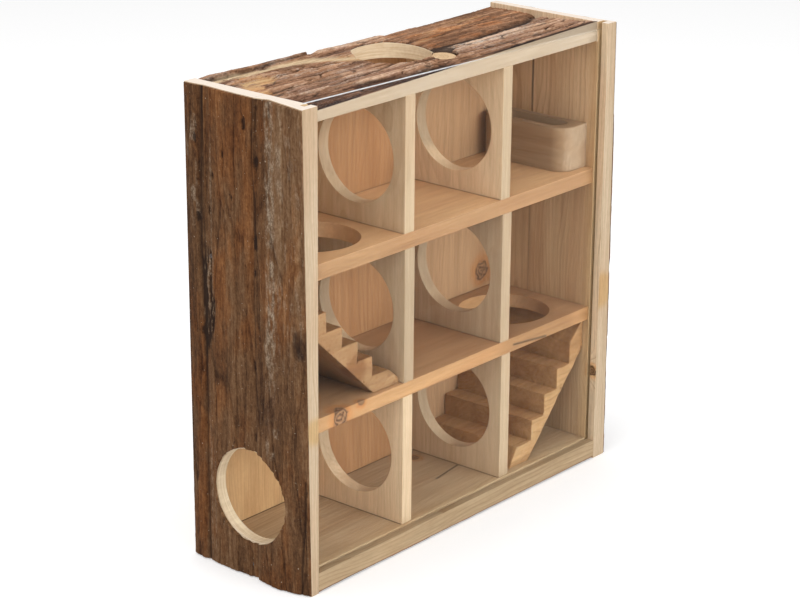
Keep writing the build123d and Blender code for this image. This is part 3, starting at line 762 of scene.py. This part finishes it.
def right_relief(across, along):
    cloud, wisp, line, spot = drawing_on(across, along)
    looks = stringy(across, along, 61, 1.2)
    wave = across + 1.6 * wisp(12, 44, 62) + 0.9 * cloud(4, 11, 3, 64)
    seams = np.max([np.exp(-((across - place) / 1.1) ** 2) for place in RIGHT_SEAMS], axis=0)
    splits = np.max([line([(33, 300), (34.5, 250), (32, 205), (33, 160)], 0.8),
                     line([(78, 190), (76.5, 130), (78.5, 80), (77, 20)], 0.9),
                     line([(49, 120), (50.5, 70), (49, 10)], 0.7)], axis=0)
    splits = splits * ease(-0.8, 0, wisp(3, 16, 65))
    knots = small_knots(spot, ((34, 246, 2), (50, 92, 2.2), (24, 66, 1.6), (70, 266, 1.7), (84, 112, 2),
                               (8, 188, 1.4)), 66)
    ridge = strip(wave, 62, 70, 1.4) * ease(140, 190, along)
    frosted = spot((66, 214), (13, 52), 63, 0.9) * ease(-0.1, 0.5, cloud(3, 15, 3, 67))
    hollow = strip(wave, 33, 46)
    looks.sink += 0.9 * splits + 0.9 * knots - 0.4 * ridge + 0.35 * hollow
    looks.crack = np.clip(looks.crack + 0.8 * seams + 0.85 * splits + 0.9 * knots, 0, 1)
    looks.lichen = np.clip(0.5 * frosted + 0.5 * ridge * ease(-0.3, 0.4, cloud(2, 9, 2, 68)), 0, 1)
    looks.tone += 0.25 * strip(wave, 15, 33) * ease(100, 170, along) - 0.3 * hollow
    looks.warm = 0.3 + looks.warm * 0.6
    return looks


def top_relief(across, along):
    cloud, _, line, spot = drawing_on(across, along)
    wavy = across + 1.6 * cloud(3, 11, 3, 103)
    _, _, crack, _ = drawing_on(wavy, along)
    # the three lines that part the board: the long fissure, the back edge and the front crack
    fissure_line = np.interp(along, [18, 33, 46, 62, 76, 93, 119, 139],
                             [47, 49, 48.5, 48.5, 50, 52, 56, 59.5])
    smooth_back = ease(-1, 1, wavy - fissure_line) * ease(16, 30, along)
    back_edge = np.interp(along, [-139, -100, -45, -38], [91, 90.5, 89, 84])
    behind = ease(-0.5, 0.5, wavy - back_edge) * (1 - ease(-44, -38, along))
    crack_line = np.interp(along, [-139, -113, -100, -92, -79, -74, -64, -45, -9],
                           [35, 33.5, 31, 28.6, 27.5, 24.8, 20.5, 18.6, 15])
    low_front = (1 - ease(-1.2, 1.2, wavy - crack_line)) * (1 - ease(-6, 4, along))
    shreds = spot((67, -68), (13, 36), 112, 0.6)
    looks = flaky(across, along, 101, np.clip(1 - 0.6 * smooth_back - 0.5 * behind + 0.25 * shreds, 0.3, 1.3))
    fibres, tufts = cloud(1.5, 26, 3, 119), cloud(1.9, 5.5, 3, 120)
    # where the bark is torn off to the layer below, the band along the back edge being the palest
    band = np.clip(strip(wavy, back_edge - 9, back_edge - 0.5, 0.9), 0, 1) * (1 - ease(-52, -40, along))
    tongue = line([(84, -66), (77, -50), (72, -40), (66, -29)], 5)
    amber = np.maximum(spot((72, -114), (9, 17), 105), 0.8 * spot((60, -124), (12, 9), 106))
    orange = np.maximum(0.75 * line([(76, 62), (80, 84), (85, 108)], 5.5) * ease(-0.3, 0.4, fibres),
                        0.45 * line([(66, 30), (76, 56)], 6) * ease(-0.2, 0.5, fibres))
    torn_bits = np.maximum(spot((57, -38), (3.5, 6), 113), spot((75, -82), (2.6, 8), 114))
    bare = np.clip(tongue + amber + orange, 0, 1) * ease(-0.8, -0.2, cloud(2.6, 24, 3, 110))
    bare = np.maximum(bare, band * ease(-1, -0.6, cloud(2.6, 40, 2, 117)))
    bare = bare * (1 - behind) * (1 - 0.85 * torn_bits)
    chip = spot((16.5, -23), (2, 3.6), 115)
    # cracks, sunk and darkened; in the fissure and the deep crack the dark colour is partly painted shade
    fissure = np.exp(-((wavy - fissure_line + 1.5) / 3) ** 2) * ease(14, 26, along)
    deep = np.exp(-((wavy - crack_line) / 2.1) ** 2) * ease(-118, -104, along) * (1 - ease(-12, -2, along))
    mid = crack([(37.5, -60), (38, -45), (42, -24)], 1.7)
    left_cracks = np.maximum(crack([(52, -122), (49, -92), (47, -66)], 1.5),
                             crack([(44, -130), (40, -104), (41, -84)], 1.3))
    right_cracks = np.maximum(crack([(29, 19), (24, 36), (23.7, 77), (19.2, 97), (20, 128)], 1.5),
                              crack([(13.5, 5), (11, 40), (10, 80), (10, 137)], 1.6))
    far_cracks = crack([(66, 44), (70, 80), (73, 112)], 1.2) * ease(-0.2, 0.3, fibres)
    # lichen, and the hollows round the branch stub, darkened through the crack layer as painted shade
    streaks = strip(wavy, fissure_line - 15, fissure_line - 3, 1.5) * ease(20, 34, along) \
        * (1 - ease(112, 126, along)) * ease(-0.55, 0.15, cloud(1.8, 34, 3, 109))
    frosted = ease(0.1, 0.5, cloud(2, 24, 3, 121)) * (1 - smooth_back) * (1 - low_front)
    hollow = spot((PIT[1] - DEPTH_FRONT + 7, PIT[0] + 7.5), (8.5, 13.5), 118, 0.3)
    stub_front = spot((STUB[1] - DEPTH_FRONT - 8, STUB[0] - 8), (8, 14), 122, 0.5)
    # the strip along the front edge, darkened in tone and kept free of lichen: partly its own dark bark,
    # partly painted shade
    sill = 1 - ease(10.5, 13.5, wavy)
    # the roll of bark that is lifted along the back edge, as far as a splinter
    roll_line = np.interp(along, [-139, -66, -42], [93.4, 93.4, 95.2])
    roll_width = np.interp(along, [-139, -66, -54, -42], [2.9, 2.7, 1.5, 0.7])
    roll_height = np.interp(along, [-139, -136.5, -130, -109, -83, -66, -53, -43.2, -42.4],
                            [0.4, 1, 1.7, 1.8, 1.9, 2.1, 2.2, 2.6, 0])
    lean = (across + 0.25 * fibres - roll_line) / roll_width
    rise = roll_height * np.sqrt(np.clip(1 - lean ** 2, 0, 1)) * (0.94 + 0.1 * fibres)
    rise = rise + 1.7 * strip(along, -38, 25, 4) * ease(84, 93, across) * (1 + 0.25 * fibres)
    # painted shadow: a dark line under the roll, carried by the crack layer
    under_roll = strip(lean, -1.25, -0.72, 0.12) * (1 - ease(-46, -42, along))
    looks.rise = rise
    looks.sink = looks.sink * (1 - 0.7 * bare) + 1.5 * bare - 0.42 * behind + 2.2 * fissure \
        + 2.4 * deep + 1.3 * mid + 1.3 * left_cracks + 1.5 * right_cracks + 1.1 * far_cracks \
        - 0.6 * torn_bits + 2.4 * stub_front + 1.8 * hollow + 0.5 * low_front - 0.5 * shreds * tufts \
        - 0.12 * fibres
    looks.bare = np.maximum(bare, 0.95 * chip)
    flake_cracks = looks.crack * (1 - bare) * (1 - 0.6 * behind) * (1 - 0.5 * smooth_back)
    # the crack layer also carries painted shade: in the hollow round the stub and under the roll
    looks.crack = np.clip(
        flake_cracks + fissure + deep + 0.85 * mid + 0.7 * left_cracks + 0.85 * right_cracks
        + 0.8 * far_cracks + 0.35 * torn_bits + 1.1 * hollow + 0.6 * under_roll, 0, 1)
    looks.lichen = (1 - sill) * np.clip(
        0.95 * streaks + 0.4 * frosted + 0.35 * behind * ease(-0.1, 0.5, fibres)
        + 0.55 * shreds * ease(0.15, 0.6, tufts), 0, 1)
    # the tone is raised on the lifted roll as a painted highlight, and lowered on the sill, partly painted
    # shade
    looks.tone = looks.tone * (1 - 0.6 * smooth_back) + 0.5 * fibres - 0.9 * low_front - 0.5 * sill \
        - 0.5 * behind + 0.8 * ease(0.3, 1.2, rise) - 0.6 * shreds * ease(-0.1, -0.6, tufts) \
        + 0.9 * strip(wavy, 13, 47) * ease(10, 30, along) \
        + 0.5 * (1 - low_front) * strip(wavy, 22, 52) * (1 - ease(-20, 10, along))
    looks.warm = looks.warm * 0.6 + 0.35 * shreds + 0.25 * smooth_back - 0.7 * low_front - 2.2 * band \
        - 0.9 * tongue - 0.35 * (1 - smooth_back)
    return looks


def bottom_relief(across, along):
    looks = stringy(across, along, 151, 0.6)
    looks.crack = np.clip(looks.crack + 0.9 * np.exp(-((across - 41) / 1.2) ** 2), 0, 1)
    return looks


def ragged(circle, slack, chips, seed, bias=0):
    """A hole's centre, and its radius round its turn with chips out of the bark."""
    def radius(turn):
        chipped = fbm(np.cos(turn) * 4 + 9, np.sin(turn) * 4 + 9, 3, seed) \
            + 0.3 * noise(turn * 14, 0 * turn, seed + 3) + bias
        return circle[2] + slack + chips * (0.35 + 0.65 * np.clip(chipped, 0, 1.4))

    return circle[0], circle[1], radius


# ---------------------------------------------------------------- materials in use
def joint_shadow_lines(level, height):
    """Painted contact shadow: the dark lines where a level's dividers, back panel and right board meet the
    board under them.
    """
    lines = []
    for side in ("left", "right"):
        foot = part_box(f"divider_{level}_{side}")[0][0] / MM
        lines.append((foot, -38, height, foot, 38, height, 1))
    return lines + [(-138, 39, height, 138, 39, height, 1.3),
                    (INNER_FACE, -33, height, INNER_FACE, 39, height, 1)]


def divider_material(number, level, edge):
    pale, dark, blush = (shaded(each, level) for each in (
        (0.62, 0.46, 0.29), (0.43, 0.27, 0.14), (0.55, 0.365, 0.21)))
    pith = (number * 31 - 70, -55 + 9 * number)
    return wood(f"divider_wood_{number}", pale, dark, "Z", pith, 2.2, 0.45, 7 + number, blush,
                streaks=0.5, front=(edge, edge, edge))


END_GRAIN = (0.86, 0.745, 0.635)
side_wood = wood(
    "side_board_wood", (0.74, 0.59, 0.4), (0.55, 0.37, 0.205), "Z", (30, 16), 2.3, 0.8, 0.3,
    (0.66, 0.46, 0.28), front=(0.84, 0.81, 0.8), end=END_GRAIN,
    stains_and_light_patches=[(142, -48, 120, 13, (0.96, 0.82, 0.58)), (-140, -48, 105, 10, (0.97, 0.85, 0.62))])
# painted shade: a darker copy of the side boards' wood for the right wall inside the house, with painted
# light where it stands outside, and a paler patch high on the inner face that is a painted highlight
side_wood_in_shade = wood(
    "side_board_wood_in_shade", (0.54, 0.36, 0.195), (0.36, 0.205, 0.09), "Z", (150, 20), 2.9, 0.9, 1.4,
    (0.43, 0.245, 0.115), end=END_GRAIN, seam=DEPTH_FRONT + RIGHT_SEAMS[1], lit=(1.6, 1.85, 2.3),
    knots=[(INNER_FACE, -44.9, 62.2, 3.7)], stains_and_light_patches=[(INNER_FACE, -5, 254, 34, (1.13, 1.14, 1.19))])
roof_wood = wood(
    "roof_board_wood", (0.66, 0.53, 0.37), (0.55, 0.405, 0.25), "X", (30, 240), 2.6, 0.3, 3.7,
    (0.62, 0.47, 0.3), 0.5, streaks=0.4, front=(0.7, 0.69, 0.71))
# the holes' walls are paler than their boards: fresh-cut wood, brightened further as painted light
entrance_wood = bored_wood("entrance_wall_wood", (0.84, 0.69, 0.49), (0.64, 0.46, 0.27), "Z")
side_entrance_wood = bored_wood("side_entrance_wall_wood", (0.84, 0.71, 0.51), (0.56, 0.41, 0.25), "X")
back_colours = (((0.52, 0.33, 0.16), (0.36, 0.2, 0.084), (0.45, 0.26, 0.115)),
                ((0.41, 0.215, 0.094), (0.27, 0.13, 0.048), (0.355, 0.165, 0.062)),
                ((0.46, 0.28, 0.145), (0.32, 0.17, 0.078), (0.4, 0.22, 0.105)))
back_wood = [wood(f"back_panel_wood_{k}", pale, dark, "Z", (30 - 60 * k, 60), 3.2, 0.6, 4.4 + k, blush,
                  1.4, knots=[(122.5, 39, 119, 7)] if k == 2 else ())
             for k, (pale, dark, blush) in enumerate(back_colours)]
floor_wood = wood(
    "floor_board_wood", (0.42, 0.295, 0.172), (0.28, 0.17, 0.08), "X", (-60, -38), 2.8, 0.8, 2.2,
    (0.35, 0.215, 0.107), front=(1.22, 1.25, 1.26), knots=[(35, 23.5, 13.2, 3.8)],
    stains_and_light_patches=[(-70, -15, 13, 45, (1.14, 1.15, 1.17))],
    scars_and_shade_lines=[(18, -9.5, 13.2, 44, -5.5, 13.2, 1.2), *joint_shadow_lines("bottom", 13.25)])
shelf_wood_low = wood(
    "lower_shelf_wood", (0.4, 0.225, 0.107), (0.27, 0.13, 0.052), "X", (-70, 60), 2.6, 0.6, 5.1,
    (0.34, 0.165, 0.07), front=(1.22, 1.22, 1.12),
    knots=[(-109.8, -39.2, 102.5, 6.5), (-91, -39.5, 106.8, 3)],
    stains_and_light_patches=[(80, -39, 101, 40, (0.76, 0.72, 0.68))],
    scars_and_shade_lines=[(58, -39.3, 102.2, 92, -39.3, 98.8, 1.3), *joint_shadow_lines("middle", 107.05)])
shelf_wood_high = wood(
    "upper_shelf_wood", (0.56, 0.335, 0.165), (0.4, 0.21, 0.09), "X", (-66, 150), 2.4, 0.6, 6.3,
    (0.5, 0.275, 0.13), front=(0.72, 0.68, 0.64), scars_and_shade_lines=joint_shadow_lines("top", 202.65))
stair_wood_left = wood(
    "left_stair_wood", (0.275, 0.142, 0.053), (0.175, 0.078, 0.025), "X", (-20, 120), 2.2, 0.7, 11,
    (0.23, 0.095, 0.03), 1.2, 0.75, speckle=0.9, front=(1.32, 1.50, 1.85),
    stains_and_light_patches=[(-92, -35.6, 125, 12, (0.7, 0.58, 0.46))])
stair_wood_right = wood(
    "right_stair_wood", (0.41, 0.225, 0.09), (0.26, 0.12, 0.042), "X", (12, 10), 2.4, 0.8, 12,
    (0.34, 0.155, 0.055), 1.2, 0.75, 1, 0.5, front=(1.08, 1.18, 1.28),
    stains_and_light_patches=[(64, -39, 32, 24, (1.13, 1.23, 1.34))])
trough_wood = wood(
    "trough_block_wood", (0.335, 0.22, 0.122), (0.215, 0.125, 0.058), "Y", (300, 205), 2.2, 0.7, 13,
    (0.29, 0.165, 0.078), 0.25, streaks=0.7, front=(1.2, 1.3, 1.48))
stub_wood = wood(
    "branch_wood", (0.66, 0.46, 0.27), (0.4, 0.235, 0.11), "Z", (STUB[0] - 1.5, STUB[1] + 1), 1.4, 0.9,
    14, (0.56, 0.35, 0.18), 0.05, 0.8, speckle=0.25)
# painted shade: near-black wood on the walls of the pit round the branch stub
pit_shade = wood("pit_shade", (0.085, 0.04, 0.02), (0.04, 0.018, 0.01), "Z", PIT[:2], 1.6, 0.9, 15, rough=0.8)
groove_wood = wood("groove_wood", (0.56, 0.38, 0.2), (0.44, 0.28, 0.13), "Z", (30, 16), 2.3, 0.5, 16)
side_bark = bark_material("side_bark", 0, "Z", (1.03, 0.96, 0.8), ((0.19, 0.13, 0.085), (0.5, 0.385, 0.27)))
level_bark = bark_material("level_bark", 5, "X", (2, 1.94, 1.98), ((0.25, 0.19, 0.145), (0.66, 0.57, 0.49)))
nail_steel = rusty_steel("nail_steel")


# ---------------------------------------------------------------- boards
def sort_faces(board, materials, rule):
    """Gives each face the material of the number that a rule finds from the face and its corners."""
    for material in materials:
        board.data.materials.append(material)
    for face in board.data.polygons:
        corners = [board.data.vertices[index].co / MM for index in face.vertices]
        face.material_index = rule(face, corners)


def in_circle(corners, first, second, circle, slack=CIRCLE_SLACK):
    """Whether all corners lie in a circle, given by its centre on two axes and its radius."""
    return all(math.hypot(corner[first] - circle[0], corner[second] - circle[1]) < circle[2] + slack
               for corner in corners)


def side_rule(face, corners):
    """The pane's groove, the side entrance's wall, or plain."""
    if all(GROOVE[0] < y + GROOVE_SLACK and y - GROOVE_SLACK < GROOVE[1] and abs(x) > INNER_FACE - 0.1
           for x, y, _ in corners):
        return 1
    return 2 if abs(face.normal.x) < 0.3 and in_circle(corners, 2, 1, ENTRANCE) else 0


def strip_rule(face, corners):
    """As on the other side boards, but for the inner face, which gets the darker wood of the boards behind
    it, painted shade.
    """
    number = side_rule(face, corners)
    return 3 if number != 1 and face.normal.x < -0.9 else number


def roof_rule(face, corners):
    """The branch stub, its pit, the entrance's wall, or plain."""
    if in_circle(corners, 0, 1, STUB, 0.05):
        return 2
    if face.center.z / MM > PIT_FLOOR and in_circle(corners, 0, 1, PIT):
        return 3
    return 1 if abs(face.normal.z) < 0.6 and in_circle(corners, 0, 1, ROOF_HOLE) else 0


for plank in ("left_plank_front", "left_plank_middle", "left_plank_back", "right_plank_front"):
    sort_faces(dress(plank, side_wood), (groove_wood, side_entrance_wood, side_wood_in_shade),
               strip_rule if plank == "right_plank_front" else side_rule)
for plank in ("right_plank_middle", "right_plank_back"):
    dress(plank, side_wood_in_shade)
for plank in ("bottom_plank_front", "bottom_plank_back"):
    dress(plank, floor_wood)
for plank in ("top_plank_back", "top_plank_front"):
    sort_faces(dress(plank, roof_wood), (entrance_wood, stub_wood, pit_shade), roof_rule)
dress("lower_shelf", shelf_wood_low)
dress("upper_shelf", shelf_wood_high)
for number, (place, level, edge) in enumerate((
        ("bottom_left", 1.2, 0.78), ("bottom_right", 0.95, 0.8), ("middle_left", 0.91, 0.71),
        ("middle_right", 0.81, 0.86), ("top_left", 0.92, 0.86), ("top_right", 1.15, 0.62))):
    dress(f"divider_{place}", divider_material(number, level, edge))
for stave, material in zip(("left", "middle", "right"), back_wood):
    dress(f"back_stave_{stave}", material)
dress("food_trough", trough_wood, 0.8)
for group in ("left_nails", "right_nails", "back_nails"):
    dress(group, nail_steel, 0.12)
rough_sawn("left_stair", stair_wood_left, 2.6, 201)
rough_sawn("right_stair", stair_wood_right, 2.6, 211)

# ---------------------------------------------------------------- bark
entrance = ragged(ENTRANCE, 0.15, 1.3, 301)
roof_hole = ragged(ROOF_HOLE, 0.1, 1.1, 305)
pit = ragged(PIT, 0.1, 0.8, 309, -0.3)
for part in ("front", "middle", "back"):
    skin(f"left_skin_{part}", f"left_bark_{part}", 2, 0, -1, left_relief, side_bark, [entrance], (0.9, 0.55))
    skin(f"right_skin_{part}", f"right_bark_{part}", 2, 0, 1, right_relief, side_bark)
for part in ("front", "back"):
    skin(f"top_skin_{part}", f"top_bark_{part}", 0, 2, 1, top_relief, level_bark, [roof_hole, pit],
         (0.62, 0.48))
    skin(f"bottom_skin_{part}", f"bottom_bark_{part}", 0, 2, -1, bottom_relief, level_bark, (), (1.8, 1))

# ---------------------------------------------------------------- clear pane
pane = dress("front_pane", clear_plastic("clear_pane"), 0.12, PANE, "front_pane_sheet")
sort_faces(pane, [sawn_plastic("sawn_pane_edge")], lambda face, corners: 1 if face.normal.z > 0.9 else 0)


# ---------------------------------------------------------------- floor, light and camera
def lamp(name, place, target, size, power):
    data = bpy.data.lights.new(name, "AREA")
    data.shape = "RECTANGLE"
    data.size, data.size_y = size
    data.energy = power
    made = new_object(name, data)
    made.location = place
    made.rotation_euler = (Vector(target) - Vector(place)).to_track_quat("-Z", "Y").to_euler()


def turned(angle, first, second):
    """A rotation in the plane of two axes."""
    made = np.eye(3)
    made[first, first] = made[second, second] = math.cos(angle)
    made[first, second], made[second, first] = -math.sin(angle), math.sin(angle)
    return made


floor_mesh = bpy.data.meshes.new("studio_floor")
floor_mesh.from_pydata([(-9, -9, 0), (9, -9, 0), (9, 9, 0), (-9, 9, 0)], [], [(0, 1, 2, 3)])
studio_floor = new_object("studio_floor", floor_mesh)
s = Shader("studio_white")
ray = s.node("LightPath").outputs
seen = s.chain("MAXIMUM", ray["Is Camera Ray"], ray["Is Glossy Ray"], ray["Is Transmission Ray"])
paper = s.node("BsdfDiffuse", {"Color": (0.86, 0.86, 0.86, 1)})
glow = s.node("Emission", {"Color": (1, 1, 1, 1), "Strength": s.times(seen, 0.28)})
lit_paper = s.node("AddShader", {0: paper.outputs[0], 1: glow.outputs[0]})
floor_mesh.materials.append(s.surface(lit_paper))

world = bpy.data.worlds.new("studio")
bpy.context.scene.world = world
s = Shader("studio", world)
ray = s.node("LightPath").outputs
level = s.fit(s.math("MAXIMUM", ray["Is Camera Ray"], ray["Is Transmission Ray"]), 0, 1, 0.5, 1)
s.surface(s.node("Background", {"Color": (1, 1, 1, 1), "Strength": level}))

lamp("key", (0.1, -2.4, 1.15), (0, 0, 0.15), (1.5, 0.9), 20.5)
lamp("top", (-0.3, 0.2, 2.2), (0, 0, 0.2), (1.6, 1.6), 24)
lamp("fill", (1.5, -1.6, 0.9), (0, 0, 0.15), (1.2, 1.2), 5)
lamp("side", (-2.1, -0.7, 1.25), (0, 0, 0.15), (1.2, 1.2), 9)

PHOTO_WIDTH, FOCAL_LENGTH = 800, 2491.129323  # pixels
SENSOR_WIDTH = 36  # millimetres
CAMERA_PLACE = (-1.1390898, -0.9502788, 0.6542959)
NOD, ROLL, TURN = 0.3347243689626262, 0.008460316861078941, 0.8717441935504351  # radians
camera_data = bpy.data.cameras.new("photo_camera")
camera_data.sensor_fit = "HORIZONTAL"
camera_data.sensor_width = SENSOR_WIDTH
camera_data.lens = FOCAL_LENGTH * SENSOR_WIDTH / PHOTO_WIDTH
camera_data.clip_end = 30
camera = new_object("photo_camera", camera_data)
right, forward, up = turned(ROLL, 2, 0) @ turned(NOD, 1, 2) @ turned(TURN, 0, 1)
camera.matrix_world = Matrix.Translation(CAMERA_PLACE) @ Matrix(
    [[right[k], up[k], -forward[k]] for k in range(3)]).to_4x4()
bpy.context.scene.camera = camera
bpy.context.scene.view_settings.view_transform = "Standard"
